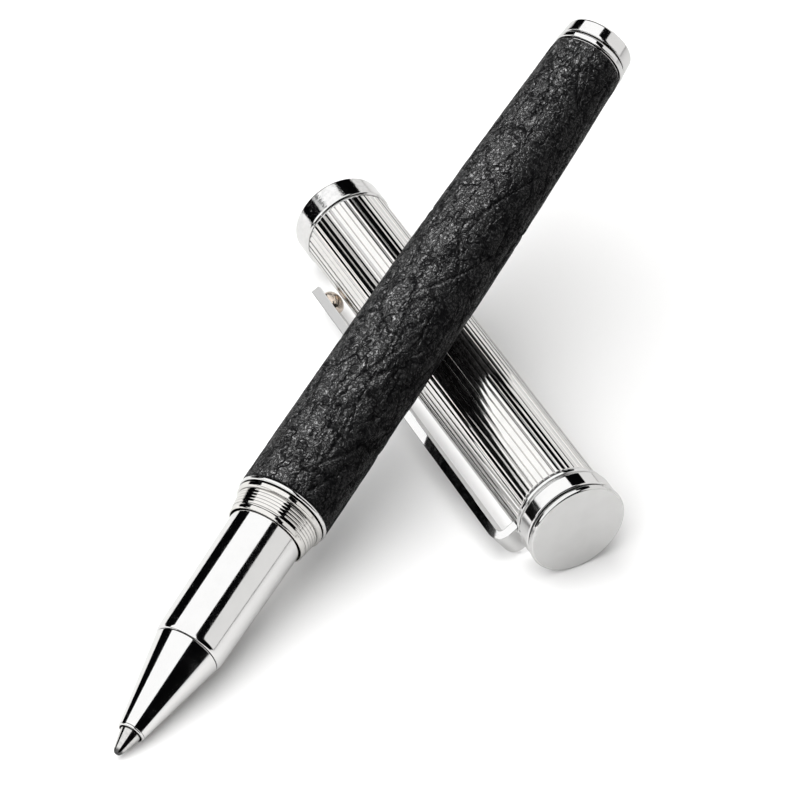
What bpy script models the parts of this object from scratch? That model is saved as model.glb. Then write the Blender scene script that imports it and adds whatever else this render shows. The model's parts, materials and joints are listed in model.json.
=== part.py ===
"""Rollerball pen lying across its own cap.

Metres, +Z up, the table at z = 0.  The cap lies along +Y with its crown end
towards -Y; the open pen leans on it and rests on the rim of its nose.
Every piece is drawn in one of two local frames whose +Z is an axis of
revolution: the cap frame starts at the crown face and runs to the mouth, the
pen frame starts at the writing tip and runs to the rear.  Both are written in
millimetres and scaled by MM.
"""
import math

import bmesh
import bpy
from mathutils import Matrix, Vector

for old in list(bpy.data.objects):
    bpy.data.objects.remove(old, do_unlink=True)

MM = 0.001

# ---- driving dimensions, millimetres ------------------------------------
CROWN_R = 6.75            # widest radius of the cap, it rolls on this
CAP_R = 6.10              # over the flute lands
CAP_BORE_R = 5.72
CAP_LEN = 66.5
FLUTES = 44
FLUTE_DEPTH = 0.16
FLUTE_LAND = 0.80         # share of the pitch that is land
TUBE_START, TUBE_END = 4.95, 62.85
MOUTH_R = 6.28

CLIP_DROP_DEG = 33.0      # how far the clip hangs below the horizontal
CLIP_W = 4.0
CLIP_PIVOT = (4.3, 6.0)   # radial and axial place of the hinge pin
CLIP_END = 57.75
PAD_AT = 55.6

PEN_LEN = 121.65
NOSE_RIM_S, NOSE_RIM_R = 3.75, 1.97
SECTION_R0, SECTION_R1 = 4.68, 4.98
COLLAR_S = 35.87
LEATHER = (               # station, outer radius
    (40.45, 6.16), (40.85, 6.34), (50.0, 6.32), (59.8, 6.24), (70.0, 6.17),
    (79.3, 6.08), (89.0, 5.90), (98.8, 5.66), (108.0, 5.36), (117.3, 5.04),
    (117.85, 4.95), (118.0, 4.84))
LEATHER_T = 0.60
TUBE_T = 0.55
REFILL_LEN = 110.5        # the standard metal rollerball refill
REFILL_R = 3.05
BALL_R = 0.35
THREAD_PITCH = 1.0        # barrel on section

CAP_AT = (14.726, -31.667)  # crown face centre over the table
TIP_FROM_CAP = (-66.58, -2.89)
PEN_YAW_DEG = 31.10
REST_GAP = 0.28           # pen over cap, so that the wider front clears it too
CAP_AXIS_H = 6.719        # the crown stands on two facets of its rim

SEG, SEG_IN, SEG_S = 28, 18, 10


# ---- materials ----------------------------------------------------------
def material(name, rgb, metallic, roughness):
    mat = bpy.data.materials.new(name)
    mat.use_nodes = True
    bsdf = mat.node_tree.nodes["Principled BSDF"]
    bsdf.inputs["Base Color"].default_value = (*rgb, 1.0)
    bsdf.inputs["Metallic"].default_value = metallic
    bsdf.inputs["Roughness"].default_value = roughness
    return mat


CHROME = (0.80, 0.80, 0.80), 1.0, 0.06
SATIN = (0.74, 0.74, 0.72), 1.0, 0.32
BRASS = (0.78, 0.60, 0.28), 1.0, 0.30
STEEL = (0.55, 0.55, 0.56), 1.0, 0.28
LEATHER_MAT = (0.018, 0.018, 0.020), 0.0, 0.55
PLASTIC = (0.05, 0.05, 0.055), 0.0, 0.40
FELT = (0.10, 0.12, 0.32), 0.0, 0.90


# ---- mesh helpers -------------------------------------------------------
def new_object(name, bm, look, parent, at=(0, 0, 0), sharp=30.0):
    bmesh.ops.remove_doubles(bm, verts=bm.verts, dist=1e-7)
    bmesh.ops.recalc_face_normals(bm, faces=bm.faces)
    mesh = bpy.data.meshes.new(name)
    bm.to_mesh(mesh)
    bm.free()
    mesh.shade_smooth()
    mesh.set_sharp_from_angle(angle=math.radians(sharp))
    obj = bpy.data.objects.new(name, mesh)
    bpy.context.collection.objects.link(obj)
    obj.parent = parent
    obj.location = Vector(at) * MM
    if look:
        mesh.materials.append(material(name, *look))
    return obj


def ring(bm, z, r, segs, at=(0.0, 0.0)):
    """One ring of vertices, or a single vertex where the radius is nil."""
    if r <= 0.0:
        return [bm.verts.new((at[0] * MM, at[1] * MM, z * MM))]
    out = []
    for i in range(segs):
        a = math.tau * i / segs
        out.append(bm.verts.new(((at[0] + r * math.cos(a)) * MM,
                                 (at[1] + r * math.sin(a)) * MM, z * MM)))
    return out


def skin(bm, a, b):
    """Faces between two rings, either of which may be a pole."""
    n = max(len(a), len(b))
    for i in range(n):
        j = (i + 1) % n
        if len(a) == 1:
            bm.faces.new((a[0], b[j], b[i]))
        elif len(b) == 1:
            bm.faces.new((a[i], a[j], b[0]))
        else:
            bm.faces.new((a[i], a[j], b[j], b[i]))


def turned(name, profile, look, parent, segs=SEG, at=(0, 0, 0)):
    """A turned piece.  The profile is (z, r) pairs: from pole to pole for a
    solid piece, or a closed loop for a piece with a hole right through."""
    bm = bmesh.new()
    rings = [ring(bm, z, r, segs) for z, r in profile]
    for a, b in zip(rings, rings[1:]):
        skin(bm, a, b)
    if len(rings[0]) > 1:
        skin(bm, rings[-1], rings[0])
    return new_object(name, bm, look, parent, at)


def ridges(first, pitch, count, root, crest, crest_end=None, width=0.5):
    """Thread ridges as a run of (z, r) points; the crest may taper."""
    out = []
    crest_end = crest if crest_end is None else crest_end
    for i in range(count):
        t = i / max(1, count - 1)
        z = first + pitch * i
        rise = crest - root
        c = crest + (crest_end - crest) * t
        out += [(z - pitch * width / 2, c - rise), (z, c)]
    out.append((first + pitch * (count - 0.5), crest_end - (crest - root)))
    return out


def coil(name, radius, wire, z0, z1, turns, look, parent, at=(0, 0, 0), sides=4, steps=9):
    """A compression spring along local Z with flat capped wire ends."""
    bm = bmesh.new()
    total = turns * steps
    rise = (z1 - z0) / total
    slope = math.atan2(rise * steps, math.tau * radius)
    rings = []
    for i in range(total + 1):
        a = math.tau * i / steps
        out = Vector((math.cos(a), math.sin(a), 0.0))
        along = Vector((-math.sin(a), math.cos(a), 0.0)) * math.cos(slope)
        along.z = math.sin(slope)
        up = out.cross(along)
        centre = out * radius + Vector((0, 0, z0 + rise * i))
        rings.append([bm.verts.new((centre + wire * (math.cos(b) * out + math.sin(b) * up)) * MM)
                      for b in (math.tau * k / sides for k in range(sides))])
    for a, b in zip(rings, rings[1:]):
        skin(bm, a, b)
    bm.faces.new(rings[0])
    bm.faces.new(list(reversed(rings[-1])))
    return new_object(name, bm, look, parent, at)


def box_cutter(name, lo, hi, parent):
    bm = bmesh.new()
    bmesh.ops.create_cube(bm, size=1.0)
    for v in bm.verts:
        v.co = Vector([(lo[k] if v.co[k] < 0 else hi[k]) * MM for k in range(3)])
    return as_cutter(new_object(name, bm, None, parent))


def rod_cutter(name, start, end, radius, parent, segs=SEG_S):
    bm = bmesh.new()
    start, end = Vector(start), Vector(end)
    turn = (end - start).to_track_quat("Z", "Y").to_matrix().to_4x4()
    bmesh.ops.create_cone(bm, cap_ends=True, segments=segs, radius1=radius * MM,
                          radius2=radius * MM, depth=(end - start).length * MM)
    bmesh.ops.transform(bm, verts=bm.verts,
                        matrix=Matrix.Translation((start + end) * 0.5 * MM) @ turn)
    return as_cutter(new_object(name, bm, None, parent))


def as_cutter(obj):
    obj.display_type = "WIRE"
    obj.hide_render = True
    return obj


def cut(obj, *cutters):
    for cutter in cutters:
        mod = obj.modifiers.new(cutter.name, "BOOLEAN")
        mod.operation = "DIFFERENCE"
        mod.solver = "EXACT"
        mod.object = cutter


def frame(name, matrix, parent=None):
    empty = bpy.data.objects.new(name, None)
    bpy.context.collection.objects.link(empty)
    empty.parent = parent
    empty.matrix_world = matrix
    return empty


def interp(table, x):
    for (x0, y0), (x1, y1) in zip(table, table[1:]):
        if x <= x1:
            return y0 + (y1 - y0) * max(0.0, x - x0) / (x1 - x0)
    return table[-1][1]


# ---- where the two halves lie -------------------------------------------
def lying_pen():
    """Tip position and direction of the pen: the nose rim touches the table
    and the barrel lies on the cap."""
    yaw = math.radians(PEN_YAW_DEG)
    tip_x, tip_y = CAP_AT[0] + TIP_FROM_CAP[0], CAP_AT[1] + TIP_FROM_CAP[1]
    run = -TIP_FROM_CAP[0] / math.cos(yaw)
    elev = math.radians(13.0)
    for _ in range(60):
        tip_z = NOSE_RIM_R * math.cos(elev) - NOSE_RIM_S * math.sin(elev)
        s = run / math.cos(elev)
        lift = CAP_R + interp(LEATHER, s) + REST_GAP
        slope = math.atan(math.tan(elev) / math.cos(yaw))
        height = CAP_AXIS_H + lift / math.cos(slope)
        elev = math.atan2(height - tip_z, run)
    along = Vector((math.cos(elev) * math.cos(yaw), math.cos(elev) * math.sin(yaw),
                    math.sin(elev)))
    return Vector((tip_x, tip_y, tip_z)) * MM, along


def axes_matrix(origin, x_axis, z_axis):
    z_axis = z_axis.normalized()
    x_axis = (x_axis - z_axis * x_axis.dot(z_axis)).normalized()
    y_axis = z_axis.cross(x_axis)
    m = Matrix((x_axis, y_axis, z_axis)).transposed().to_4x4()
    m.translation = origin
    return m


drop = math.radians(CLIP_DROP_DEG)
clip_way = Vector((-math.cos(drop), 0.0, -math.sin(drop)))
cap_frame = frame("cap_axis", axes_matrix(
    Vector((CAP_AT[0], CAP_AT[1], CAP_AXIS_H)) * MM, clip_way, Vector((0, 1, 0))))
tip, pen_way = lying_pen()
pen_frame = frame("pen_axis", axes_matrix(tip, Vector((0, 0, 1)), pen_way))


# ---- cap ----------------------------------------------------------------
def fluted_tube(name, look, parent):
    """Pressed tube: flat lands with narrow lengthwise grooves between them."""
    bm = bmesh.new()
    step = math.tau / FLUTES
    outer, inner = [], []
    for i in range(FLUTES):
        for part, depth in ((0.0, 0.0), (FLUTE_LAND, 0.0), ((1 + FLUTE_LAND) / 2, FLUTE_DEPTH)):
            a = step * (i + part)
            outer.append((a, CAP_R - depth))
            inner.append((a, CAP_BORE_R))
    loops = []
    for points, z in ((outer, TUBE_START), (outer, TUBE_END), (inner, TUBE_END),
                      (inner, TUBE_START)):
        loops.append([bm.verts.new((r * math.cos(a) * MM, r * math.sin(a) * MM, z * MM))
                      for a, r in points])
    for a, b in zip(loops, loops[1:] + loops[:1]):
        skin(bm, a, b)
    return new_object(name, bm, look, parent, sharp=12.0)


def build_cap():
    turned("cap_crown_disc", [
        (0, 0), (0, 6.42), (0.08, 6.64), (0.28, CROWN_R), (0.70, CROWN_R), (0.93, 6.55),
        (0.95, 2.0), (5.5, 2.0), (5.5, 0)], SATIN, cap_frame)
    turned("cap_crown_band", [
        (1.22, 4.0), (1.22, 6.48), (1.32, 6.65), (3.42, 6.65), (3.54, 6.48), (3.54, 4.0)],
        CHROME, cap_frame)
    turned("cap_top_ring", [
        (3.78, 4.0), (3.78, 5.95), (4.00, 6.05), (4.12, 6.36), (4.52, 6.40), (4.68, 6.22),
        (4.68, 4.0)], CHROME, cap_frame)
    plug = turned("cap_top_plug", [
        (12.0, 0), (12.0, 5.4), (4.85, 5.4), (4.85, 3.7), (1.25, 3.7), (1.25, 2.3),
        (6.6, 2.3), (6.6, 0)], BRASS, cap_frame, SEG_IN)
    px, pz = CLIP_PIVOT
    half = CLIP_W / 2 + 0.3
    slot = box_cutter("slot_cutter", (2.72, -half, 4.75), (7.5, half, 7.45), cap_frame)
    pin_hole = rod_cutter("pin_hole_cutter", (px, -6.5, pz), (px, 6.5, pz), 0.52, cap_frame)
    pocket = rod_cutter("pocket_cutter", (3.6, 0, 6.9), (3.6, 0, 11.4), 1.2, cap_frame)
    cut(plug, slot, pin_hole, pocket)
    tube = fluted_tube("cap_tube", CHROME, cap_frame)
    notch = box_cutter("notch_cutter", (4.6, -half, 4.4), (7.2, half, 6.75), cap_frame)
    cut(tube, notch)
    turned("cap_inner_liner", [
        (12.3, 0), (12.3, 5.42), (61.8, 5.42), (61.8, 5.12), (13.5, 5.12), (13.5, 0)],
        PLASTIC, cap_frame, SEG_IN)
    bore = [(z, r) for z, r in reversed(ridges(63.85, 0.8, 3, 5.84, 5.55))]
    turned("cap_mouth_ring", [
        (63.05, 5.84), (63.05, 6.12), (63.17, MOUTH_R), (66.30, MOUTH_R), (CAP_LEN, 6.14),
        (CAP_LEN, 5.98), (66.25, 5.84)] + bore, CHROME, cap_frame)
    turned("clip_pin", [(-2.9, 0), (-2.9, 0.4), (2.9, 0.4), (2.9, 0)], STEEL,
           frame("pin_frame", cap_frame.matrix_world @ Matrix.Translation(
               Vector((px, 0, pz)) * MM) @ Matrix.Rotation(-math.pi / 2, 4, "X"), cap_frame),
           SEG_S)
    coil("clip_spring", 0.72, 0.15, 7.35, 11.1, 4, STEEL, cap_frame, at=(3.6, 0, 0))


def build_clip():
    """Flat strap with a bent root that passes through the tube wall onto the
    hinge pin; its frame sits on the pin."""
    px, pz = CLIP_PIVOT
    pivot = frame("clip_pivot", cap_frame.matrix_world @ Matrix.Translation(
        Vector((px, 0, pz)) * MM), cap_frame)
    outline = [
        (2.95, 5.15), (2.95, 6.88), (5.15, 6.88), (5.45, 6.45), (7.40, 6.45), (7.85, 6.62),
        (8.12, 6.98), (8.20, 7.45), (7.68, CLIP_END - 0.4), (7.80, CLIP_END),
        (8.74, CLIP_END), (8.84, CLIP_END - 0.15), (9.24, 7.6), (9.18, 6.95), (8.98, 6.32),
        (8.60, 5.75), (8.05, 5.34), (7.40, 5.15)]
    bm = bmesh.new()
    sides = [[bm.verts.new(((x - px) * MM, y * MM, (z - pz) * MM)) for x, z in outline]
             for y in (-CLIP_W / 2, CLIP_W / 2)]
    skin(bm, *sides)
    rims = [bm.faces.new(side) for side in sides]
    bmesh.ops.recalc_face_normals(bm, faces=bm.faces)
    bmesh.ops.bevel(bm, geom=list({e for f in rims for e in f.edges}), offset=0.10 * MM,
                    segments=1, profile=0.5, affect="EDGES", clamp_overlap=True)
    arm = new_object("clip_arm", bm, CHROME, pivot, sharp=25.0)
    hole = rod_cutter("lug_hole_cutter", (0, -4, 0), (0, 4, 0), 0.52, pivot)
    seat = rod_cutter("pad_hole_cutter", (7.0 - px, 0, PAD_AT - pz), (8.25 - px, 0, PAD_AT - pz),
                      0.62, pivot)
    cut(arm, hole, seat)
    pad_frame = frame("pad_frame", pivot.matrix_world @ Matrix.Translation(
        Vector((7.60 - px, 0, PAD_AT - pz)) * MM) @ Matrix.Rotation(-math.pi / 2, 4, "Y"), pivot)
    turned("clip_pad", [
        (-0.5, 0), (-0.5, 0.5), (0, 0.5), (0, 1.42), (0.25, 1.45), (0.62, 1.33), (0.95, 1.05),
        (1.22, 0.60), (1.36, 0)], CHROME, pad_frame, 14)


# ---- pen ----------------------------------------------------------------
def build_front():
    """Grip section with its nose and the threaded bush inside it."""
    turned("nose_cone", [
        (3.38, 1.60), (3.38, 1.78), (3.52, 1.91), (NOSE_RIM_S, NOSE_RIM_R), (3.98, 1.95),
        (4.06, 1.88), (4.14, 1.94), (16.50, 4.42), (16.66, 4.34), (16.66, 3.88), (22.0, 3.88),
        (22.0, 3.35), (15.9, 3.35), (12.4, 2.05), (6.4, 2.05), (6.15, 1.60)],
        CHROME, pen_frame)
    turned("grip_section", [
        (16.92, 4.20), (16.92, 4.44), (17.08, 4.58), (17.40, SECTION_R0), (35.9, SECTION_R1),
        (38.1, SECTION_R1), (38.1, 4.28), (29.7, 4.28), (29.5, 3.45), (22.5, 3.45),
        (22.3, 4.20)], CHROME, pen_frame)
    turned("section_thread_bush", [
        (29.95, 3.45), (29.95, 3.95), (38.2, 3.95), (38.4, 4.32)]
        + ridges(39.2, THREAD_PITCH, 7, 4.36, 4.60)
        + [(46.4, 4.2), (46.4, 3.45)], BRASS, pen_frame, SEG_IN)


def build_refill():
    ball = bmesh.new()
    bmesh.ops.create_uvsphere(ball, u_segments=12, v_segments=8, radius=BALL_R * MM)
    new_object("tip_ball", ball, STEEL, pen_frame, at=(0, 0, BALL_R), sharp=60.0)
    turned("refill_tip", [
        (0.15, 0.33), (0.15, 0.41), (0.90, 0.66), (3.40, 1.38), (6.0, 1.40), (6.0, 0.9),
        (10.0, 0.9), (10.0, 0.22), (0.75, 0.22), (0.62, 0.31), (0.35, 0.405)],
        STEEL, pen_frame, 16)
    turned("refill_holder", [
        (6.35, 1.2), (6.35, 1.55), (6.5, 1.7), (12.0, 1.7), (15.2, 2.75), (16.0, 2.75),
        (16.0, 2.3), (20.0, 2.3), (20.0, 1.2)], PLASTIC, pen_frame, SEG_IN)
    turned("refill_tube", [
        (16.3, 2.62), (16.3, REFILL_R), (106.6, REFILL_R), (106.6, 2.62)],
        STEEL, pen_frame, SEG_IN)
    turned("refill_wick", [(10.4, 0), (10.4, 0.8), (24.0, 0.8), (24.0, 0)], FELT, pen_frame,
           SEG_S)
    turned("refill_reservoir", [(24.3, 0), (24.3, 2.25), (102.8, 2.25), (102.8, 0)],
           FELT, pen_frame, SEG_IN)
    turned("refill_end_plug", [
        (103.2, 0), (103.2, 2.3), (106.9, 2.3), (106.9, 2.9), (110.2, 2.9),
        (REFILL_LEN, 2.7), (REFILL_LEN, 0)], PLASTIC, pen_frame, SEG_IN)


def build_spring_set():
    turned("spring_washer", [
        (110.8, 0), (110.8, 2.6), (111.3, 2.6), (111.3, 1.2), (112.2, 1.2), (112.2, 0)],
        STEEL, pen_frame, SEG_IN)
    coil("rear_spring", 1.9, 0.25, 111.7, 114.3, 4, STEEL, pen_frame)


def build_barrel():
    """Collar, brass tube, leather, rear ring and end cap turn as one."""
    nut = [(z, r) for z, r in reversed(ridges(40.6, 2 * THREAD_PITCH, 3, 4.92, 4.74, width=0.4))]
    turned("thread_collar", [
        (COLLAR_S, 5.20), (COLLAR_S, 5.30), (36.00, 5.41), (36.40, 5.44), (36.60, 5.38)]
        + ridges(36.95, 0.43, 5, 5.46, 5.60, 5.80)
        + [(39.02, 6.02), (39.10, 6.10), (39.60, 6.12), (39.70, 6.00), (39.70, 5.20),
           (46.8, 5.20), (46.8, 4.92)] + nut + [(38.5, 4.92), (38.4, 5.20)],
        CHROME, pen_frame)
    turned("collar_trim_ring", [
        (39.86, 5.35), (39.86, 6.16), (39.96, 6.32), (40.14, 6.38), (40.30, 6.34),
        (40.34, 5.35)], CHROME, pen_frame)
    outer = list(LEATHER)
    inner_s = (118.0, 108.0, 98.8, 89.0, 79.3, 59.8, 40.45)
    core = [(s, min(interp(LEATHER, s), 6.34) - LEATHER_T) for s in inner_s]
    core[0], core[-1] = (118.0, 4.42), (40.45, 5.72)
    turned("leather_sleeve", outer + core, LEATHER_MAT, pen_frame)
    shell = [(s, r - 0.10) for s, r in reversed(core)]
    shell[0], shell[-1] = (40.5, 5.62), (117.9, 4.32)
    bore = [(s, r - TUBE_T) for s, r in reversed(shell)]
    turned("barrel_tube", shell + bore[:-1] + [(47.2, 5.05), (47.0, 5.35), (40.5, 5.35)],
           BRASS, pen_frame)
    turned("rear_trim_ring", [
        (118.28, 3.9), (118.28, 4.92), (118.40, 5.05), (118.95, 5.05), (119.10, 4.92),
        (119.10, 3.9)], CHROME, pen_frame)
    turned("barrel_end_plug", [
        (114.8, 0), (114.8, 3.5), (119.12, 3.5), (119.12, 1.8), (115.3, 1.8), (115.3, 0)],
        BRASS, pen_frame, SEG_IN)
    turned("barrel_end_cap", [
        (115.6, 0), (115.6, 1.5), (119.42, 1.5), (119.42, 4.72), (119.52, 4.90),
        (119.70, 4.93), (121.40, 4.79), (121.58, 4.66), (PEN_LEN, 4.45), (PEN_LEN, 0)],
        CHROME, pen_frame)


build_cap()
build_clip()
build_front()
build_refill()
build_spring_set()
build_barrel()
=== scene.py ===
# Studio picture of an open rollerball pen leaning on its own fluted cap.
#
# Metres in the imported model's frame: +Z up, the table at z = 0, the cap along +Y.
# Turned pieces are drawn in millimetres, as (station, radius) profiles in the
# cap's or the pen's own axis frame, whose +Z is the axis of revolution.
import json
import math

import bmesh
import bpy
from mathutils import Matrix, Vector, noise


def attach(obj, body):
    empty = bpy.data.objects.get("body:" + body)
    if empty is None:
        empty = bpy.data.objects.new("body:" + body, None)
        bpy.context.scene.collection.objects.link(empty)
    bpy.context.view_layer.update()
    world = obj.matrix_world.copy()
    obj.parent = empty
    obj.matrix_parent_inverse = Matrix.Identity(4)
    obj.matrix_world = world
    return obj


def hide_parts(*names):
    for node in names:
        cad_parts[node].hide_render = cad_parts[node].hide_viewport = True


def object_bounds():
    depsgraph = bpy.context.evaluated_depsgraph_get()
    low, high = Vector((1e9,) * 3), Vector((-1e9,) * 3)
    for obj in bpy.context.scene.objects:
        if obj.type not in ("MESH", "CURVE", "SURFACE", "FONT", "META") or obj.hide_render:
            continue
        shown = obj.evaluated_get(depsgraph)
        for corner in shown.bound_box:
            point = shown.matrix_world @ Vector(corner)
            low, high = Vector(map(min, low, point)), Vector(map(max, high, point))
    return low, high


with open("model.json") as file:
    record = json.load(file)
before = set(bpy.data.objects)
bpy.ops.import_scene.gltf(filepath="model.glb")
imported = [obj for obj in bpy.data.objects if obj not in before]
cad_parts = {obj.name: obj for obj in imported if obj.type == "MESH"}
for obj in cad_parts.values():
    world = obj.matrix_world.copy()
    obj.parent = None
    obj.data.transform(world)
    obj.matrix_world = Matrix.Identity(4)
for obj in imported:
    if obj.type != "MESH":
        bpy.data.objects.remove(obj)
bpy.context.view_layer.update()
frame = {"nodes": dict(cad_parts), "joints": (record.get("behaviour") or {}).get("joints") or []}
MM = 0.001

# ---- dimensions that several pieces share, millimetres --------------------
CAP_R = 6.10              # over the flute lands
CAP_BORE_R = 5.72
FLUTES = 44
FLUTE_DEPTH = 0.13
FLUTE_LAND = 0.76         # share of the pitch that is rib
FLUTE_PHASE = 0.35        # where the first rib starts, in pitches
RIB_CROWN = 0.027         # how far a rib's sides fall below its middle
TUBE_START, TUBE_END = 4.95, 62.85
CLIP_W = 4.0
CLIP_PIVOT = (4.3, 6.0)   # radial and axial place of the hinge pin
CLIP_END = 57.75
PAD_AT = 55.6
PEN_LEN = 121.65
LEATHER = (               # station, outer radius
    (40.45, 6.16), (40.85, 6.34), (50.0, 6.32), (59.8, 6.24), (70.0, 6.17),
    (79.3, 6.08), (89.0, 5.90), (98.8, 5.66), (108.0, 5.36), (117.3, 5.04),
    (117.85, 4.95), (118.0, 4.84))

SLEEVE_FRONT, SLEEVE_REAR = 40.9, 117.2   # between the leather's turned edges
EDGE_FADE = 0.9           # length over which its creases die out at an edge

CLIP_TURN_DEG = 6.5       # twist of the strap toward its free end
CLIP_LEAN_DEG = 1.5       # the strap past its shoulder leans back by this
CLIP_TURN_FROM, CLIP_TURN_OVER = 2.0, 36.0
CLIP_MID_X = 8.0          # radial place of the strap's middle

SEG = 144                 # facets round a turned piece
SEG_FINE = 320            # and round the collar, whose ridges are fine


# ---- axis frames ----------------------------------------------------------
def axes_matrix(origin, x_axis, z_axis):
    z_axis = z_axis.normalized()
    x_axis = (x_axis - z_axis * x_axis.dot(z_axis)).normalized()
    m = Matrix((x_axis, z_axis.cross(x_axis), z_axis)).transposed().to_4x4()
    m.translation = origin
    return m


joints = {j["name"]: j for j in frame["joints"]}
hinge, screw = joints["clip_open"], joints["barrel_unscrew"]
cap_way = Vector((0.0, 1.0, 0.0))
clip_way = Vector(hinge["axis"]).cross(cap_way).normalized()
CAP = axes_matrix(Vector(hinge["pos_m"])
                  - (clip_way * CLIP_PIVOT[0] + cap_way * CLIP_PIVOT[1]) * MM,
                  clip_way, cap_way)
pen_way = Vector(screw["axis"]).normalized()
PEN = axes_matrix(Vector(screw["pos_m"]) - pen_way * 60.0 * MM, Vector((0, 0, 1)), pen_way)


def shifted(base, x=0.0, y=0.0, z=0.0, turn=0.0, about="Y"):
    return (base @ Matrix.Translation(Vector((x, y, z)) * MM)
            @ Matrix.Rotation(math.radians(turn), 4, about))


# ---- node materials -------------------------------------------------------
def add(tree, kind, sockets=None, **settings):
    """A shader node with its settings, input values and links."""
    node = tree.nodes.new(kind)
    for key, value in settings.items():
        setattr(node, key, value)
    for key, value in (sockets or {}).items():
        if isinstance(value, bpy.types.NodeSocket):
            tree.links.new(value, node.inputs[key])
        else:
            node.inputs[key].default_value = value
    return node


def remap(tree, value, low, high, to_low, to_high):
    return add(tree, "ShaderNodeMapRange", {
        0: value, 1: low, 2: high, 3: to_low, 4: to_high},
        interpolation_type="SMOOTHSTEP").outputs[0]


def mix_colour(tree, factor, a, b):
    node = add(tree, "ShaderNodeMix", data_type="RGBA")
    for key, value in ((0, factor), (6, a), (7, b)):
        if isinstance(value, bpy.types.NodeSocket):
            tree.links.new(value, node.inputs[key])
        else:
            node.inputs[key].default_value = value if key == 0 else (*value, 1.0)
    return node.outputs[2]


def local_mm(tree, local):
    """Position in millimetres: the piece's own axis frame, or the row frame
    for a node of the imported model."""
    if local:
        return add(tree, "ShaderNodeAttribute", attribute_name="axis_mm").outputs["Vector"]
    coord = add(tree, "ShaderNodeTexCoord").outputs["Object"]
    return add(tree, "ShaderNodeVectorMath", {0: coord, 3: 1000.0},
               operation="SCALE").outputs[0]


def stretch(tree, vector, scale):
    return add(tree, "ShaderNodeMapping", {"Vector": vector, "Scale": scale}).outputs[0]


def start_material(name):
    mat = bpy.data.materials.new(name)
    mat.use_nodes = True
    return mat, mat.node_tree, mat.node_tree.nodes["Principled BSDF"]


def near_any(tree, value, seams):
    """1 on any of the (place, half width) seams, falling to 0 beside them."""
    total = None
    for place, half in seams:
        off = add(tree, "ShaderNodeMath", {0: value, 1: place}, operation="SUBTRACT").outputs[0]
        off = add(tree, "ShaderNodeMath", {0: off}, operation="ABSOLUTE").outputs[0]
        here = remap(tree, off, half * 0.4, half, 1.0, 0.0)
        total = here if total is None else add(
            tree, "ShaderNodeMath", {0: total, 1: here}, operation="MAXIMUM").outputs[0]
    return total


def metal(name, colour, rough, worn=0.05, brush=(1.0, 1.0, 0.06), grain=0.02, local=True,
          smear=0.5, seams=(), roots=None, seam_shade=0.99, dents=0.0):
    """Bare or plated metal: smudged gloss, hairlines along the brush direction
    and a slightly uneven tone.  Painted shade darkens the seams, given as (station,
    half width), and the groove bottoms below the roots, given as a (deep, shallow) radius pair.
    Dents are handling marks about half a millimetre wide."""
    mat, tree, bsdf = start_material(name)
    place = local_mm(tree, local)
    smudge = add(tree, "ShaderNodeTexNoise", {
        "Vector": place, "Scale": smear, "Detail": 4.0, "Roughness": 0.62}).outputs[0]
    hair = add(tree, "ShaderNodeTexNoise", {
        "Vector": stretch(tree, place, brush), "Scale": 9.0, "Detail": 3.0}).outputs[0]
    dust = add(tree, "ShaderNodeTexNoise", {
        "Vector": place, "Scale": 16.0, "Detail": 2.0}).outputs[0]
    tone = mix_colour(tree, remap(tree, smudge, 0.35, 0.7, 0.0, 1.0),
                      colour, tuple(c * (1.0 - worn) for c in colour))
    parts = add(tree, "ShaderNodeSeparateXYZ", {0: place}).outputs
    # Painted shade: the colour darkens in the seams and in the groove bottoms below the roots.
    if seams:
        tone = mix_colour(tree, near_any(tree, parts[2], seams), tone,
                          tuple(c * (1.0 - seam_shade) for c in colour))
    if roots:
        flat = add(tree, "ShaderNodeCombineXYZ", {0: parts[0], 1: parts[1]}).outputs[0]
        out = add(tree, "ShaderNodeVectorMath", {0: flat}, operation="LENGTH").outputs[1]
        tone = mix_colour(tree, remap(tree, out, roots[0], roots[1], 1.0, 0.0), tone,
                          tuple(c * (1.0 - seam_shade) for c in colour))
    tree.links.new(tone, bsdf.inputs["Base Color"])
    gloss = add(tree, "ShaderNodeMath", {
        0: remap(tree, smudge, 0.42, 0.75, rough * 0.8, rough * 1.5),
        1: remap(tree, hair, 0.45, 0.8, 0.0, rough * 0.6)}, operation="ADD").outputs[0]
    tree.links.new(gloss, bsdf.inputs["Roughness"])
    height = add(tree, "ShaderNodeMath", {0: hair, 1: dust}, operation="ADD").outputs[0]
    bump = add(tree, "ShaderNodeBump", {
        "Height": height, "Strength": grain, "Distance": 0.01 * MM})
    if dents:
        pits = add(tree, "ShaderNodeTexNoise", {
            "Vector": place, "Scale": 3.2, "Detail": 2.0, "Roughness": 0.6}).outputs[0]
        bump = add(tree, "ShaderNodeBump", {
            "Height": pits, "Strength": dents, "Distance": 0.10 * MM, "Normal": bump.outputs[0]})
    tree.links.new(bump.outputs[0], bsdf.inputs["Normal"])
    bsdf.inputs["Metallic"].default_value = 1.0
    return mat


def plastic(name, colour, rough):
    """Moulded plastic, slightly cloudy and finely sparked."""
    mat, tree, bsdf = start_material(name)
    place = local_mm(tree, True)
    cloud = add(tree, "ShaderNodeTexNoise", {"Vector": place, "Scale": 0.8, "Detail": 5.0})
    spark = add(tree, "ShaderNodeTexNoise", {"Vector": place, "Scale": 11.0, "Detail": 2.0})
    tone = mix_colour(tree, remap(tree, cloud.outputs[0], 0.35, 0.7, 0.0, 1.0),
                      colour, tuple(c * 1.5 + 0.004 for c in colour))
    tree.links.new(tone, bsdf.inputs["Base Color"])
    tree.links.new(remap(tree, cloud.outputs[0], 0.3, 0.7, rough * 0.85, rough * 1.2),
                   bsdf.inputs["Roughness"])
    bump = add(tree, "ShaderNodeBump", {
        "Height": spark.outputs[0], "Strength": 0.15, "Distance": 0.02 * MM})
    tree.links.new(bump.outputs[0], bsdf.inputs["Normal"])
    return mat


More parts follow.
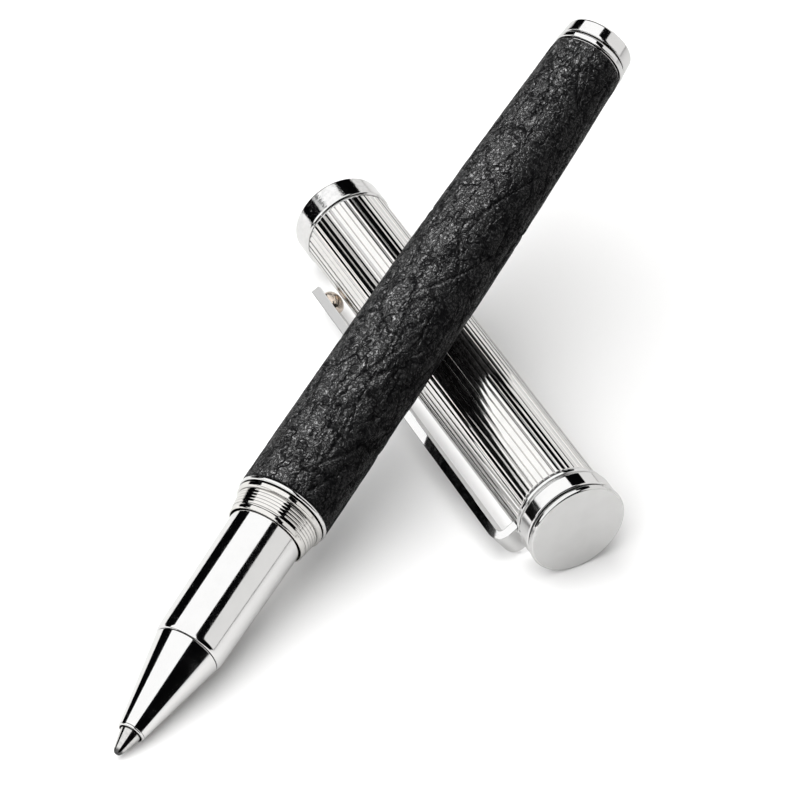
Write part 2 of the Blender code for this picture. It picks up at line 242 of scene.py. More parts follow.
def fibre(name, colour):
    """Ink-soaked felt: drawn fibres with pores between them."""
    mat, tree, bsdf = start_material(name)
    place = local_mm(tree, False)
    strand = add(tree, "ShaderNodeTexNoise", {
        "Vector": stretch(tree, place, (6.0, 6.0, 1.0)), "Scale": 2.0, "Detail": 6.0})
    pore = add(tree, "ShaderNodeTexVoronoi", {"Vector": place, "Scale": 4.0})
    tone = mix_colour(tree, strand.outputs[0], colour, tuple(c * 2.2 + 0.01 for c in colour))
    tree.links.new(tone, bsdf.inputs["Base Color"])
    bsdf.inputs["Roughness"].default_value = 0.95
    height = add(tree, "ShaderNodeMath", {0: strand.outputs[0], 1: pore.outputs[0]},
                 operation="ADD")
    bump = add(tree, "ShaderNodeBump", {
        "Height": height.outputs[0], "Strength": 0.6, "Distance": 0.05 * MM})
    tree.links.new(bump.outputs[0], bsdf.inputs["Normal"])
    return mat


def satin_crown(name):
    """Fine-blasted disc with a polished rim."""
    mat, tree, bsdf = start_material(name)
    place = local_mm(tree, True)
    split = add(tree, "ShaderNodeSeparateXYZ", {0: place})
    flat = add(tree, "ShaderNodeCombineXYZ", {0: split.outputs[0], 1: split.outputs[1]})
    out = add(tree, "ShaderNodeVectorMath", {0: flat.outputs[0]}, operation="LENGTH").outputs[1]
    rim = remap(tree, out, 6.46, 6.60, 0.0, 1.0)
    sand = add(tree, "ShaderNodeTexNoise", {"Vector": place, "Scale": 26.0, "Detail": 3.0})
    cloud = add(tree, "ShaderNodeTexNoise", {"Vector": place, "Scale": 0.45, "Detail": 5.0})
    rings = add(tree, "ShaderNodeTexNoise", {"W": out, "Scale": 7.0, "Detail": 3.0},
                noise_dimensions="1D")
    tone = mix_colour(tree, remap(tree, cloud.outputs[0], 0.3, 0.7, 0.0, 1.0),
                      (0.80, 0.80, 0.795), (0.78, 0.78, 0.775))
    tree.links.new(tone, bsdf.inputs["Base Color"])
    satin = remap(tree, cloud.outputs[0], 0.3, 0.7, 0.34, 0.40)
    gloss = add(tree, "ShaderNodeMix", {0: rim, 2: satin, 3: 0.06}).outputs[0]
    tree.links.new(gloss, bsdf.inputs["Roughness"])
    height = add(tree, "ShaderNodeMath", {0: sand.outputs[0], 1: rings.outputs[0]},
                 operation="ADD").outputs[0]
    depth = remap(tree, rim, 0.0, 1.0, 0.22, 0.01)
    bump = add(tree, "ShaderNodeBump", {
        "Height": height, "Strength": depth, "Distance": 0.02 * MM})
    tree.links.new(bump.outputs[0], bsdf.inputs["Normal"])
    bsdf.inputs["Metallic"].default_value = 1.0
    return mat


def leather(name):
    """Black pebbled leather: warped cells, pores between them, and creases
    that come as geometry with a "crease" value of their own."""
    mat, tree, bsdf = start_material(name)
    place = local_mm(tree, True)
    crease = add(tree, "ShaderNodeAttribute", attribute_name="crease").outputs["Fac"]
    warp = add(tree, "ShaderNodeTexNoise", {"Vector": place, "Scale": 0.9, "Detail": 2.0})
    centred = add(tree, "ShaderNodeVectorMath", {
        0: warp.outputs[1], 1: (0.5, 0.5, 0.5)}, operation="SUBTRACT").outputs[0]
    pushed = add(tree, "ShaderNodeVectorMath", {0: centred, 3: 2.2}, operation="SCALE").outputs[0]
    bent = add(tree, "ShaderNodeVectorMath", {0: place, 1: pushed}, operation="ADD").outputs[0]
    cells = add(tree, "ShaderNodeTexVoronoi", {"Vector": bent, "Scale": 1.60},
                feature="DISTANCE_TO_EDGE")
    small = add(tree, "ShaderNodeTexVoronoi", {"Vector": bent, "Scale": 3.1},
                feature="DISTANCE_TO_EDGE")
    fold = add(tree, "ShaderNodeTexVoronoi", {
        "Vector": stretch(tree, bent, (1.0, 1.0, 0.40)), "Scale": 0.44},
        feature="DISTANCE_TO_EDGE")
    pebble = remap(tree, cells.outputs[0], 0.0, 0.34, 0.0, 1.0)
    pore = remap(tree, small.outputs[0], 0.0, 0.30, 0.0, 1.0)
    lines = remap(tree, fold.outputs[0], 0.0, 0.10, 0.0, 1.0)
    lumps = add(tree, "ShaderNodeTexNoise", {
        "Vector": place, "Scale": 0.55, "Detail": 6.0, "Roughness": 0.60}).outputs[0]
    patch = add(tree, "ShaderNodeTexNoise", {
        "Vector": place, "Scale": 0.22, "Detail": 3.0}).outputs[0]
    tone = mix_colour(tree, patch, (0.0022, 0.0022, 0.0025), (0.0042, 0.0042, 0.0046))
    # Painted shade: the colour darkens in the creases.
    tone = mix_colour(tree, remap(tree, crease, 0.1, 1.0, 0.0, 0.8), tone,
                      (0.0010, 0.0010, 0.0012))
    tree.links.new(tone, bsdf.inputs["Base Color"])
    gloss = add(tree, "ShaderNodeMath", {
        0: remap(tree, pebble, 0.0, 1.0, 0.50, 0.38),
        1: remap(tree, crease, 0.1, 1.0, 0.0, 0.2)}, operation="ADD").outputs[0]
    tree.links.new(gloss, bsdf.inputs["Roughness"])
    shine = add(tree, "ShaderNodeMath", {
        0: remap(tree, pebble, 0.0, 0.6, 0.06, 0.36),
        1: remap(tree, pore, 0.0, 0.8, 0.4, 1.0)}, operation="MULTIPLY").outputs[0]
    shine = add(tree, "ShaderNodeMath", {
        0: shine, 1: remap(tree, lines, 0.0, 1.0, 0.15, 1.0)}, operation="MULTIPLY").outputs[0]
    tree.links.new(shine, bsdf.inputs["Specular IOR Level"])
    fine = add(tree, "ShaderNodeMath", {0: pore, 1: 0.35, 2: pebble},
               operation="MULTIPLY_ADD").outputs[0]
    fine = add(tree, "ShaderNodeMath", {0: lines, 1: 1.3, 2: fine},
               operation="MULTIPLY_ADD").outputs[0]
    height = add(tree, "ShaderNodeMath", {0: lumps, 1: 3.0, 2: fine},
                 operation="MULTIPLY_ADD").outputs[0]
    bump = add(tree, "ShaderNodeBump", {
        "Height": height, "Strength": 1.0, "Distance": 0.050 * MM})
    tree.links.new(bump.outputs[0], bsdf.inputs["Normal"])
    return mat


CHROME = (0.862, 0.860, 0.857)
MATERIALS = {
    # Seams and roots in these metals carry painted shade: the colour darkens where gaps and
    # grooves lie.
    "cap_chrome": metal("cap_plate", CHROME, 0.050, worn=0.02,
                        seams=((1.08, 0.16), (3.66, 0.14), (4.78, 0.14))),
    "mouth": metal("handled_plate", CHROME, 0.060, worn=0.10, smear=1.6, dents=0.15,
                   seams=((62.96, 0.12),)),
    "pen_chrome": metal("pen_plate", CHROME, 0.075, worn=0.02,
                        seams=((3.66, 0.05), (16.78, 0.09), (40.40, 0.10), (39.80, 0.10),
                               (118.20, 0.12), (119.28, 0.18))),
    "flutes": metal("fluted_plate", (0.868, 0.858, 0.845), 0.055, worn=0.03,
                    roots=(5.96, 6.05), seam_shade=0.25),
    "strap": metal("strap_plate", CHROME, 0.050, worn=0.02),
    "pad": metal("pad_plate", (0.78, 0.68, 0.59), 0.070, worn=0.12, smear=1.2),
    "collar": metal("threaded_plate", (0.84, 0.825, 0.80), 0.08, worn=0.05, seam_shade=0.65,
                    brush=(0.3, 0.3, 3.0),
                    seams=tuple((36.735 + 0.43 * k, 0.07) for k in range(6)) + ((39.72, 0.08),)),
    "crown": satin_crown("satin_plate"),
    "leather": leather("grained_leather"),
    "tip": metal("refill_tip_metal", (0.70, 0.695, 0.685), 0.12, worn=0.15, grain=0.12,
                 brush=(0.4, 0.4, 4.0), smear=2.0, seams=((0.05, 0.75), (3.36, 0.16)),
                 seam_shade=0.85),
    "ball": metal("ball_carbide", (0.10, 0.10, 0.105), 0.16, worn=0.2, smear=6.0),
    "steel": metal("spring_steel", (0.56, 0.56, 0.57), 0.22, worn=0.10, grain=0.08),
    "tube": metal("refill_can", (0.70, 0.70, 0.71), 0.28, worn=0.04, grain=0.05),
    "brass": metal("turned_brass", (0.80, 0.62, 0.30), 0.24, worn=0.15, grain=0.12,
                   brush=(0.3, 0.3, 3.0)),
    "plastic": plastic("moulded_plastic", (0.020, 0.020, 0.022), 0.42),
    "node_brass": metal("node_brass", (0.80, 0.62, 0.30), 0.26, worn=0.15, grain=0.1,
                        local=False),
    "felt": fibre("ink_felt", (0.020, 0.026, 0.10)),
}


# ---- mesh helpers ---------------------------------------------------------
def eased(profile, fillet, closed):
    """Rounds the corners of a (z, r) line.  A corner may carry its own radius
    as a third number.  Guard points keep the flats flat under smooth shading."""
    pts = [Vector(p[:2]) for p in profile]
    out = []
    for i, p in enumerate(pts):
        if not closed and i in (0, len(pts) - 1):
            out.append(p.copy())
            continue
        a, b = pts[i - 1] - p, pts[(i + 1) % len(pts)] - p
        reach = min(profile[i][2] if len(profile[i]) > 2 else fillet,
                    0.42 * a.length, 0.42 * b.length)
        a.normalize()
        b.normalize()
        turn = math.degrees(a.angle(-b))
        if turn < 6.0 or reach < 1e-3:
            out.append(p.copy())
            continue
        steps = 5 if turn > 50 else 3
        out.append(p + a * reach * 1.15)
        for k in range(steps + 1):
            t = k / steps
            out.append((p + a * reach) * (1 - t) ** 2 + p * (2 * t * (1 - t))
                       + (p + b * reach) * t * t)
        out.append(p + b * reach * 1.15)
    return [(q.x, q.y) for q in out]


def loop(bm, points):
    return [bm.verts.new(Vector(p) * MM) for p in points]


def skin(bm, a, b):
    """Faces between two loops, either of which may be a single point."""
    n = max(len(a), len(b))
    for i in range(n):
        j = (i + 1) % n
        if len(a) == 1:
            bm.faces.new((a[0], b[j], b[i]))
        elif len(b) == 1:
            bm.faces.new((a[i], a[j], b[0]))
        else:
            bm.faces.new((a[i], a[j], b[j], b[i]))


def circle(z, r, segs):
    if r <= 0.0:
        return [(0.0, 0.0, z)]
    return [(r * math.cos(math.tau * i / segs), r * math.sin(math.tau * i / segs), z)
            for i in range(segs)]


def mesh_object(name, bm):
    """Moves a finished bmesh into a new object of the scene."""
    mesh = bpy.data.meshes.new(name)
    bm.to_mesh(mesh)
    bm.free()
    obj = bpy.data.objects.new(name, mesh)
    bpy.context.collection.objects.link(obj)
    return obj


def to_piece(name, bm, base, look, body, stands_for, sharp=60.0, cutters=()):
    """Turns a bmesh drawn in the frame `base` into a shown piece on a body."""
    bmesh.ops.remove_doubles(bm, verts=bm.verts, dist=1e-8)
    bmesh.ops.recalc_face_normals(bm, faces=bm.faces)
    obj = mesh_object(name, bm)
    mesh = obj.data
    for cutter in cutters:
        mod = obj.modifiers.new("cut", "BOOLEAN")
        mod.operation, mod.solver, mod.object = "DIFFERENCE", "EXACT", cutter
    if cutters:
        bpy.context.view_layer.update()
        cut_mesh = bpy.data.meshes.new_from_object(
            obj.evaluated_get(bpy.context.evaluated_depsgraph_get()))
        obj.modifiers.clear()
        obj.data = mesh = cut_mesh
        mesh.name = name
        for cutter in cutters:
            bpy.data.objects.remove(cutter)
    spot = mesh.attributes.new("axis_mm", "FLOAT_VECTOR", "POINT")
    values = []
    for v in mesh.vertices:
        values.extend(v.co / MM)
    spot.data.foreach_set("vector", values)
    mesh.transform(base)
    mesh.shade_smooth()
    mesh.set_sharp_from_angle(angle=math.radians(sharp))
    mesh.materials.clear()
    mesh.materials.append(MATERIALS[look])
    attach(obj, body)
    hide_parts(stands_for)


def cutter_object(bm):
    bmesh.ops.recalc_face_normals(bm, faces=bm.faces)
    return mesh_object("cutter", bm)


def box_cutter(low, high):
    bm = bmesh.new()
    bmesh.ops.create_cube(bm, size=1.0)
    for v in bm.verts:
        v.co = Vector([(low[k] if v.co[k] < 0 else high[k]) * MM for k in range(3)])
    return cutter_object(bm)


def rod_cutter(start, end, radius):
    bm = bmesh.new()
    start, end = Vector(start), Vector(end)
    bmesh.ops.create_cone(bm, cap_ends=True, segments=32, radius1=radius * MM,
                          radius2=radius * MM, depth=(end - start).length * MM)
    turn = (end - start).to_track_quat("Z", "Y").to_matrix().to_4x4()
    bmesh.ops.transform(bm, verts=bm.verts,
                        matrix=Matrix.Translation((start + end) * 0.5 * MM) @ turn)
    return cutter_object(bm)


def turned(node, profile, look, base, body, fillet=0.04, segs=SEG, **more):
    """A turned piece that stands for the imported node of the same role."""
    closed = profile[0][1] > 0.0
    bm = bmesh.new()
    loops = [loop(bm, circle(z, r, segs)) for z, r in eased(profile, fillet, closed)]
    for a, b in zip(loops, loops[1:]):
        skin(bm, a, b)
    if closed:
        skin(bm, loops[-1], loops[0])
    to_piece(node + "_look", bm, base, look, body, node, **more)


def ridges(first, pitch, count, root, crest, crest_end=None, width=0.5):
    """Thread ridges as a run of (z, r) points; the crest may climb."""
    crest_end = crest if crest_end is None else crest_end
    rise = crest - root
    out = []
    for i in range(count):
        top = crest + (crest_end - crest) * i / max(1, count - 1)
        z = first + pitch * i
        out += [(z - pitch * width / 2, top - rise), (z, top)]
    out.append((first + pitch * (count - 0.5), crest_end - rise))
    return out


def coil(node, radius, wire, z0, z1, turns, base, body, at=(0.0, 0.0)):
    """Compression spring of round wire with cut ends."""
    sides, steps = 14, 40
    bm = bmesh.new()
    total = turns * steps
    rise = (z1 - z0) / total
    slope = math.atan2(rise * steps, math.tau * radius)
    loops = []
    for i in range(total + 1):
        a = math.tau * i / steps
        out = Vector((math.cos(a), math.sin(a), 0.0))
        along = Vector((-math.sin(a), math.cos(a), 0.0)) * math.cos(slope)
        along.z = math.sin(slope)
        up = out.cross(along)
        centre = out * radius + Vector((at[0], at[1], z0 + rise * i))
        loops.append(loop(bm, [centre + wire * (math.cos(b) * out + math.sin(b) * up)
                               for b in (math.tau * k / sides for k in range(sides))]))
    for a, b in zip(loops, loops[1:]):
        skin(bm, a, b)
    bm.faces.new(loops[0])
    bm.faces.new(list(reversed(loops[-1])))
    to_piece(node + "_look", bm, base, "steel", body, node)


def interp(table, x):
    for (x0, y0), (x1, y1) in zip(table, table[1:]):
        if x <= x1:
            return y0 + (y1 - y0) * max(0.0, x - x0) / (x1 - x0)
    return table[-1][1]


def smooth_interp(table, x):
    """Eased table lookup, so that a taper has no kinks."""
    reach = 2.5
    return sum(interp(table, x + share * reach) for share in (-1, -0.5, 0, 0.5, 1)) / 5


# ---- cap ------------------------------------------------------------------
def build_cap():
    turned("cap_crown_disc", [
        (0.0, 0), (0.0, 6.45, 0.10), (0.09, 6.66, 0.10), (0.26, 6.75, 0.10),
        (0.70, 6.75, 0.12), (0.93, 6.52, 0.08),
        (0.95, 2.0), (5.5, 2.0), (5.5, 0)], "crown", CAP, "cap")
    turned("cap_crown_band", [
        (1.22, 4.0), (1.22, 6.50), (1.34, 6.65, 0.08), (3.40, 6.65, 0.08), (3.54, 6.50),
        (3.54, 4.0)], "cap_chrome", CAP, "cap")
    turned("cap_top_ring", [
        (3.78, 4.0), (3.78, 5.95), (4.00, 6.05), (4.12, 6.36, 0.10), (4.52, 6.40, 0.12),
        (4.68, 6.22), (4.68, 4.0)], "cap_chrome", CAP, "cap")

    bm = bmesh.new()
    step = math.tau / FLUTES
    land = []
    for i in range(FLUTES):
        for k in range(9):
            land.append((step * (i + FLUTE_PHASE + FLUTE_LAND * k / 8),
                         RIB_CROWN * (k / 4 - 1) ** 2))
        for t, d in ((0.15, 0.42), (0.35, 0.86), (0.50, 1.0), (0.65, 0.86), (0.85, 0.42)):
            land.append((step * (i + FLUTE_PHASE + FLUTE_LAND + (1 - FLUTE_LAND) * t),
                         FLUTE_DEPTH * d))

    def outline(z, shrink, share):
        return loop(bm, [((CAP_R - shrink - d * share) * math.cos(a),
                          (CAP_R - shrink - d * share) * math.sin(a), z) for a, d in land])

    walls = [outline(TUBE_START, 0.20, 0.0), outline(TUBE_START + 0.02, 0.17, 0.1),
             outline(TUBE_START + 0.16, 0.02, 0.9), outline(TUBE_START + 0.22, 0.0, 1.0),
             outline(TUBE_START + 0.30, 0.0, 1.0), outline(TUBE_END - 0.20, 0.0, 1.0),
             outline(TUBE_END - 0.12, 0.0, 1.0), outline(TUBE_END - 0.02, 0.06, 0.6),
             outline(TUBE_END, 0.10, 0.3)]
    for z in (TUBE_END, TUBE_START):
        walls.append(loop(bm, [(CAP_BORE_R * math.cos(a), CAP_BORE_R * math.sin(a), z)
                               for a, _ in land]))
    for a, b in zip(walls, walls[1:] + walls[:1]):
        skin(bm, a, b)
    notch = box_cutter((4.6, -CLIP_W / 2 - 0.3, 4.4), (7.2, CLIP_W / 2 + 0.3, 6.75))
    to_piece("cap_tube_look", bm, CAP, "flutes", "cap", "cap_tube", sharp=24.0,
             cutters=(notch,))

    turned("cap_inner_liner", [
        (12.3, 0), (12.3, 5.42), (61.8, 5.42), (61.8, 5.12), (13.5, 5.12), (13.5, 0)],
        "plastic", CAP, "cap", segs=96)
    bore = [(z, r) for z, r in reversed(ridges(63.85, 0.8, 3, 5.84, 5.55))]
    turned("cap_mouth_ring", [
        (63.05, 5.84), (63.05, 6.05, 0.03), (63.26, 6.28, 0.14), (66.30, 6.28, 0.10),
        (66.5, 6.14, 0.08), (66.5, 5.98), (66.25, 5.84)] + bore, "mouth", CAP, "cap")
    px, pz = CLIP_PIVOT
    turned("clip_pin", [(-2.9, 0), (-2.9, 0.4), (2.9, 0.4), (2.9, 0)], "steel",
           shifted(CAP, px, 0, pz, -90, "X"), "cap", segs=40)
    coil("clip_spring", 0.72, 0.15, 7.35, 11.1, 4, CAP, "cap", at=(3.6, 0.0))


def build_clip():
    """Flat sprung strap: it comes out of the slot at the crown, turns over a
    rounded shoulder and runs down the cap, with a domed pad under its end."""
    px, pz = CLIP_PIVOT
    pivot = shifted(CAP, px, 0, pz)
    outline = eased([
        (2.95, 5.15, 0.1), (2.95, 6.88, 0.1), (5.15, 6.88, 0.1), (5.45, 6.45, 0.15),
        (7.40, 6.45, 0.45), (7.78, 6.62, 0.3), (8.00, 6.98, 0.3), (8.06, 7.45, 0.3),
        (7.54, CLIP_END - 0.4, 0.2), (7.66, CLIP_END, 0.15), (8.74, CLIP_END, 0.12),
        (8.84, CLIP_END - 0.15, 0.12), (9.24, 7.6, 0.4), (9.18, 6.95, 0.4),
        (8.98, 6.32, 0.4), (8.60, 5.75, 0.4), (8.05, 5.34, 0.4), (7.40, 5.15, 0.4)], 0.2, True)
    bm = bmesh.new()
    sides = [loop(bm, [(x - px, y, z - pz) for x, z in outline])
             for y in (-CLIP_W / 2, CLIP_W / 2)]
    skin(bm, *sides)
    rims = [bm.faces.new(side) for side in sides]
    for v in bm.verts:
        share = min(1.0, max(0.0, (v.co.z / MM - CLIP_TURN_FROM) / CLIP_TURN_OVER))
        lean = CLIP_LEAN_DEG if share > 0 else 0.0
        turn = math.radians(CLIP_TURN_DEG * share * share * (3 - 2 * share) - lean)
        mid = CLIP_MID_X - px
        x, y = v.co.x / MM - mid, v.co.y / MM
        v.co.x = (mid + x * math.cos(turn) - y * math.sin(turn)) * MM
        v.co.y = (x * math.sin(turn) + y * math.cos(turn)) * MM
    bmesh.ops.recalc_face_normals(bm, faces=bm.faces)
    bmesh.ops.bevel(bm, geom=list({e for f in rims for e in f.edges}), offset=0.13 * MM,
                    segments=3, profile=0.5, affect="EDGES", clamp_overlap=True)
    hole = rod_cutter((0, -4, 0), (0, 4, 0), 0.52)
    seat = rod_cutter((7.0 - px, 0, PAD_AT - pz), (8.25 - px, 0, PAD_AT - pz), 0.62)
    to_piece("clip_arm_look", bm, pivot, "strap", "clip", "clip_arm", sharp=11.0,
             cutters=(hole, seat))
    dome = [(1.36 * math.sin(math.radians(a)), 1.70 * math.cos(math.radians(a)))
            for a in (12, 20, 28, 36, 44, 52, 60, 68, 76, 83)]
    turned("clip_pad", [(-0.5, 0), (-0.5, 0.5), (0, 0.5), (0, 1.68)] + dome + [(1.36, 0)],
           "pad", shifted(pivot, 7.60 - px, 0, PAD_AT - pz, -90, "Y"), "clip", segs=72)


# ---- pen ------------------------------------------------------------------
def build_front():
    turned("nose_cone", [
        (3.38, 1.60), (3.38, 1.72, 0.05), (3.44, 1.83, 0.08), (3.56, 1.87, 0.05),
        (3.66, 1.842, 0.03), (16.66, 4.43, 0.06), (16.74, 4.36), (16.74, 3.88),
        (22.0, 3.88), (22.0, 3.35), (15.9, 3.35), (12.4, 2.05), (6.4, 2.05),
        (6.15, 1.60)], "pen_chrome", PEN, "front")
    turned("grip_section", [
        (16.82, 4.20), (16.82, 4.36), (16.94, 4.50, 0.10), (17.26, 4.635, 0.26),
        (17.90, 4.70, 0.40),
        (35.9, 4.98), (38.1, 4.98), (38.1, 4.28), (29.7, 4.28), (29.5, 3.45), (22.5, 3.45),
        (22.3, 4.20)], "pen_chrome", PEN, "front")
    turned("section_thread_bush", [
        (29.95, 3.45), (29.95, 3.95), (38.2, 3.95), (38.4, 4.32)]
        + ridges(39.2, 1.0, 7, 4.36, 4.60) + [(46.4, 4.2), (46.4, 3.45)],
        "brass", PEN, "front", segs=96)


def build_refill():
    ball = [(0.35 - 0.35 * math.cos(math.radians(a)), 0.35 * math.sin(math.radians(a)))
            for a in range(10, 180, 10)]
    turned("tip_ball", [(0.0, 0.0)] + ball + [(0.7, 0.0)], "ball", PEN, "refill", segs=40)
    turned("refill_tip", [
        (0.13, 0.33), (0.15, 0.44, 0.06), (0.40, 0.60, 0.15), (0.90, 0.76, 0.20),
        (3.40, 1.42, 0.06), (6.0, 1.42),
        (6.0, 0.9), (10.0, 0.9), (10.0, 0.22), (0.75, 0.22), (0.62, 0.31), (0.35, 0.405)],
        "tip", PEN, "refill", segs=72)
    turned("refill_holder", [
        (6.35, 1.2), (6.35, 1.55), (6.5, 1.7), (12.0, 1.7, 0.2), (15.2, 2.75, 0.2),
        (16.0, 2.75), (16.0, 2.3), (20.0, 2.3), (20.0, 1.2)], "plastic", PEN, "refill", segs=72)
    turned("refill_tube", [
        (16.3, 2.62), (16.3, 3.05, 0.06), (106.6, 3.05, 0.06), (106.6, 2.62)],
        "tube", PEN, "refill", segs=96)
    turned("refill_end_plug", [
        (103.2, 0), (103.2, 2.3), (106.9, 2.3), (106.9, 2.9, 0.08), (110.2, 2.9, 0.1),
        (110.5, 2.7, 0.1), (110.5, 1.2), (110.1, 1.0), (110.1, 0)],
        "plastic", PEN, "refill", segs=72)


def build_spring_set():
    turned("spring_washer", [
        (110.8, 0), (110.8, 2.6), (111.3, 2.6), (111.3, 1.2), (112.2, 1.2, 0.15), (112.2, 0)],
        "steel", PEN, "washer", segs=72)
    coil("rear_spring", 1.9, 0.25, 111.7, 114.3, 4, PEN, "spring")


def build_sleeve():
    """Leather wrapped round the barrel: a dense skin pushed in along creases
    that run lengthwise and aslant, and gently swollen between them."""
    around, rows = 208, 440
    edge_in = ((40.45, 6.12), (40.50, 6.20), (40.60, 6.28), (40.74, 6.32),
               (SLEEVE_FRONT, 6.335))
    edge_out = ((SLEEVE_REAR, 5.045), (117.45, 5.03), (117.65, 5.01), (117.80, 4.975),
                (117.92, 4.92), (118.0, 4.82))
    length = SLEEVE_REAR - SLEEVE_FRONT
    stations = [s for s, _ in edge_in[:-1]]
    stations += [SLEEVE_FRONT + length * i / rows for i in range(rows + 1)]
    stations += [s for s, _ in edge_out[1:]]

    def family(s, a, twist, along, across, seed, width):
        """Meandering lines where a twisted, stretched noise passes through nil."""
        b = a + twist * s
        p = Vector((across * math.cos(b) * 6.0, across * math.sin(b) * 6.0, s * along + seed))
        wob = noise.noise(p * 2.3) * 0.25
        n = noise.noise(p) + wob * 0.5
        mask = noise.noise(Vector((p.x * 0.8 + 9.1, p.y * 0.8, p.z * 0.9 - seed)))
        return math.exp(-(n / width) ** 2) * min(1.0, max(0.0, mask * 2.4 + 0.55))

    bm = bmesh.new()
    layer = bm.verts.layers.float.new("crease")
    loops = []
    for s in stations:
        if s < SLEEVE_FRONT:
            r, fade = interp(edge_in, s), 0.0
        elif s > SLEEVE_REAR:
            r, fade = interp(edge_out, s), 0.0
        else:
            r = smooth_interp(LEATHER[1:-2], s)
            fade = min(1.0, (s - SLEEVE_FRONT) / EDGE_FADE, (SLEEVE_REAR - s) / EDGE_FADE)
        ring = []
        for i in range(around):
            a = math.tau * i / around
            deep = max(family(s, a, 0.020, 0.045, 0.34, 3.7, 0.065),
                       0.9 * family(s, a, -0.060, 0.055, 0.32, 17.2, 0.060),
                       0.8 * family(s, a, 0.075, 0.09, 0.42, 31.9, 0.06))
            fine = family(s, a, -0.02, 0.22, 0.80, 47.3, 0.10)
            q = Vector((0.42 * 6 * math.cos(a), 0.42 * 6 * math.sin(a), 0.33 * s))
            swell = noise.noise(q) * 0.022 + noise.noise(q * 2.6) * 0.012
            push = fade * (swell - 0.22 * deep - 0.07 * fine)
            rr = min(r + push, r + 0.02)
            v = bm.verts.new(Vector((rr * math.cos(a), rr * math.sin(a), s)) * MM)
            # The crease value marks where the leather's colour is painted darker as shade.
            v[layer] = fade * max(deep, 0.45 * fine)
            ring.append(v)
        loops.append(ring)
    for s, r in ((118.0, 4.42), (108.0, 4.76), (98.8, 5.06), (89.0, 5.30), (79.3, 5.48),
                 (59.8, 5.64), (40.45, 5.72)):
        loops.append(loop(bm, circle(s, r, around)))
    for a, b in zip(loops, loops[1:] + loops[:1]):
        skin(bm, a, b)
    to_piece("leather_sleeve_look", bm, PEN, "leather", "barrel", "leather_sleeve", sharp=70.0)


def build_barrel():
    nut = [(z, r) for z, r in reversed(ridges(40.6, 2.0, 3, 4.92, 4.74, width=0.4))]
    turned("thread_collar", [
        (35.87, 5.20), (35.87, 5.30), (36.00, 5.41, 0.06), (36.40, 5.44, 0.06), (36.60, 5.38)]
        + ridges(36.95, 0.43, 5, 5.50, 5.565, 5.785)
        + [(39.02, 6.02), (39.10, 6.10), (39.60, 6.12, 0.05), (39.70, 6.00), (39.70, 5.20),
           (46.8, 5.20), (46.8, 4.92)] + nut + [(38.5, 4.92), (38.4, 5.20)],
        "collar", PEN, "barrel", segs=SEG_FINE)
    turned("collar_trim_ring", [
        (39.86, 5.35), (39.86, 6.16), (39.96, 6.32, 0.08), (40.14, 6.38, 0.1),
        (40.30, 6.34, 0.03), (40.34, 5.35)], "pen_chrome", PEN, "barrel")
    build_sleeve()
    shell = ((40.5, 5.62), (59.8, 5.54), (79.3, 5.38), (89.0, 5.20), (98.8, 4.96),
             (108.0, 4.66), (117.9, 4.32))
    turned("barrel_tube", list(shell) + [(s, r - 0.55) for s, r in reversed(shell[1:])]
           + [(47.2, 5.05), (47.0, 5.35), (40.5, 5.35)], "brass", PEN, "barrel", segs=96)
    turned("rear_trim_ring", [
        (118.05, 3.9), (118.05, 4.76), (118.26, 4.76), (118.28, 4.92), (118.40, 5.05, 0.10),
        (118.95, 5.05, 0.10), (119.10, 4.92), (119.10, 3.9)], "pen_chrome", PEN, "barrel")
    turned("barrel_end_cap", [
        (115.6, 0), (115.6, 1.5), (119.42, 1.5), (119.42, 4.72), (119.52, 4.90, 0.06),
        (119.70, 4.93, 0.06), (121.40, 4.79, 0.10), (121.58, 4.66, 0.12),
        (PEN_LEN, 4.45, 0.12), (PEN_LEN, 0)], "pen_chrome", PEN, "barrel")


def finish_nodes():
    """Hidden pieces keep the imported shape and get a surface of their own."""
    for node, look in (("cap_top_plug", "node_brass"), ("refill_wick", "felt"),
                       ("refill_reservoir", "felt"), ("barrel_end_plug", "node_brass")):
        obj = frame["nodes"][node]
        obj.data.materials.clear()
        obj.data.materials.append(MATERIALS[look])


# ---- studio ---------------------------------------------------------------
TABLE_HALF = 6000.0
FILL_UP, SOFTBOX_UP = 300.0, 800.0  # heights over the table
REFLECTOR_X = 330.0
SHEEN_WATTS = 62.0
SHEEN_AT = (-6, 430, 790)
LENS, SENSOR = 302.4, 36.0
CAMERA_AT = (-283.9, -552.5, 609.4)
CAMERA_AIM = (8.95, 5.89, 0.0)


def card(name, corners, strength, tint=(1.0, 1.0, 1.0), matte=True, gloss=True):
    """A flat light panel, out of sight itself: it lights matte surfaces, shows
    in glossy ones, or both.  Corners in millimetres."""
    bm = bmesh.new()
    bm.faces.new(loop(bm, corners))
    obj = mesh_object(name, bm)
    mat = bpy.data.materials.new(name)
    mat.use_nodes = True
    tree = mat.node_tree
    tree.nodes.clear()
    glow = add(tree, "ShaderNodeEmission", {"Color": (*tint, 1.0), "Strength": strength})
    out = add(tree, "ShaderNodeOutputMaterial", {0: glow.outputs[0]})
    out.is_active_output = True
    obj.data.materials.append(mat)
    obj.visible_camera = obj.visible_shadow = False
    obj.visible_transmission = obj.visible_volume_scatter = False
    obj.visible_diffuse, obj.visible_glossy = matte, gloss


def leather_lamp():
    """The hot middle of the softbox: only the dull leather is dark enough to
    show it as a sheen."""
    data = bpy.data.lights.new("sheen", "AREA")
    data.shape, data.size, data.size_y = "RECTANGLE", 0.70, 0.40
    data.energy = SHEEN_WATTS
    lamp = bpy.data.objects.new("sheen", data)
    bpy.context.collection.objects.link(lamp)
    lamp.location = Vector(SHEEN_AT) * MM
    lamp.rotation_euler = (-lamp.location).to_track_quat("-Z", "Y").to_euler()
    lamp.visible_camera = lamp.visible_diffuse = lamp.visible_transmission = False
    only = bpy.data.collections.new("sheen_on")
    only.objects.link(bpy.data.objects["leather_sleeve_look"])
    lamp.light_linking.receiver_collection = only


